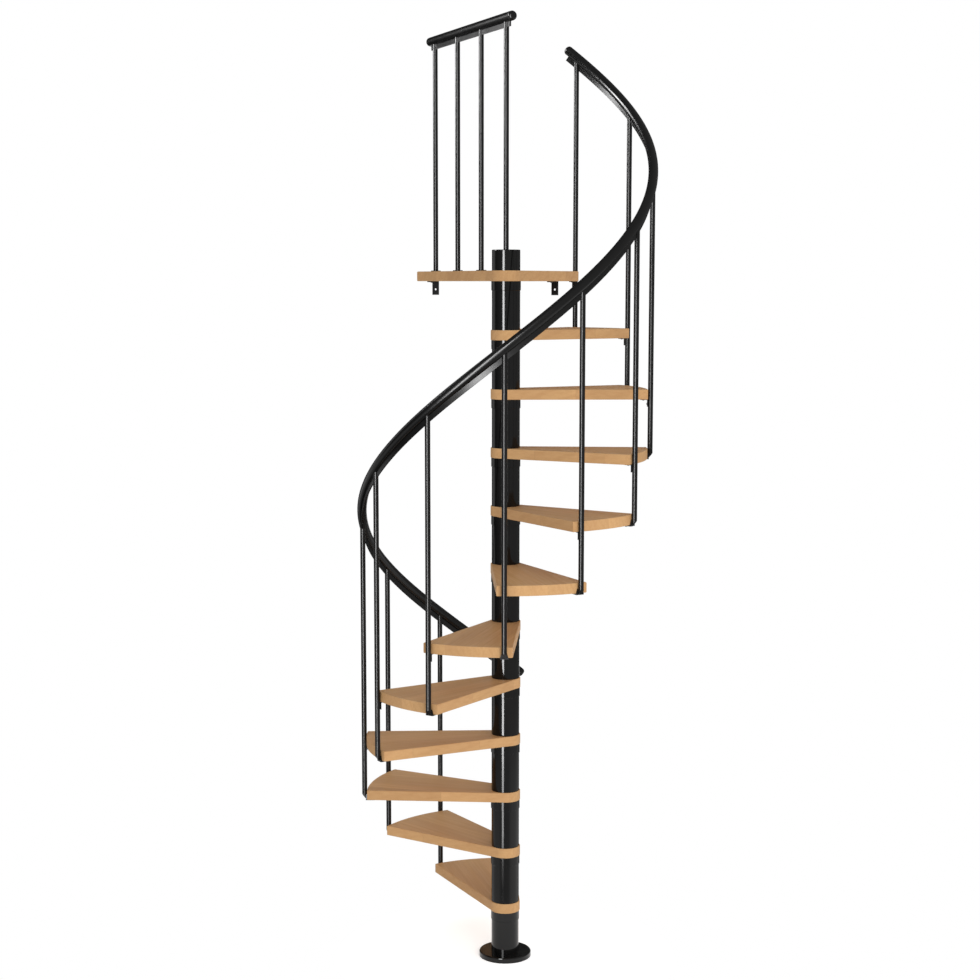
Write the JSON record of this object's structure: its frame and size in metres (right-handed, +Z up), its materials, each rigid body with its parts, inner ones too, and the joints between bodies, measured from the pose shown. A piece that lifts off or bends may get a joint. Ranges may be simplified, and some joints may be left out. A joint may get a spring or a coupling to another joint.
{
  "type": "spiral staircase",
  "caption": "Spiral staircase: wooden wedge treads on a black central column, round outer balusters, a helical handrail and a landing with a guard rail and wall brackets.",
  "frame": {"origin": "on the column axis, at the underside of the floor plate", "axes": "+Z up along the column; the first baluster stands on +Y, the flight climbs counter-clockwise seen from above"},
  "size_m": [1.1948, 1.3615, 3.82],
  "materials": {
    "beech_boards": "satin lacquered beech with fine straight grain",
    "black_steel": "glossy black powder coat",
    "black_column": "glossy black coated sleeves",
    "black_plastic": "smooth black moulded plastic"
  },
  "bodies": {
    "root": {"base_plate": "black_steel", "base_cover": "black_column", "centre_pole": "black_steel", "column_sleeves": "black_column", "tread_collars": "black_column", "column_cap": "black_column", "tread_01": "beech_boards", "tread_02": "beech_boards", "tread_03": "beech_boards", "tread_04": "beech_boards", "tread_05": "beech_boards", "tread_06": "beech_boards", "tread_07": "beech_boards", "tread_08": "beech_boards", "tread_09": "beech_boards", "tread_10": "beech_boards", "tread_11": "beech_boards", "landing": "beech_boards", "wall_bracket_left": "black_steel", "wall_bracket_right": "black_steel", "tread_brackets": "black_steel", "floor_rosette": "black_plastic", "baluster_01": "black_steel", "baluster_02": "black_steel", "baluster_03": "black_steel", "baluster_04": "black_steel", "baluster_05": "black_steel", "baluster_06": "black_steel", "baluster_07": "black_steel", "baluster_08": "black_steel", "baluster_09": "black_steel", "baluster_10": "black_steel", "baluster_11": "black_steel", "baluster_12": "black_steel", "handrail": "black_plastic", "handrail_bar": "black_steel", "handrail_cap_lower": "black_plastic", "handrail_cap_upper": "black_plastic", "guard_post_1": "black_steel", "guard_post_2": "black_steel", "guard_post_3": "black_steel", "guard_post_4": "black_steel", "guard_rosettes": "black_plastic", "guard_rail": "black_plastic", "guard_rail_bar": "black_steel", "guard_rail_caps": "black_plastic"}
  },
  "joints": []
}
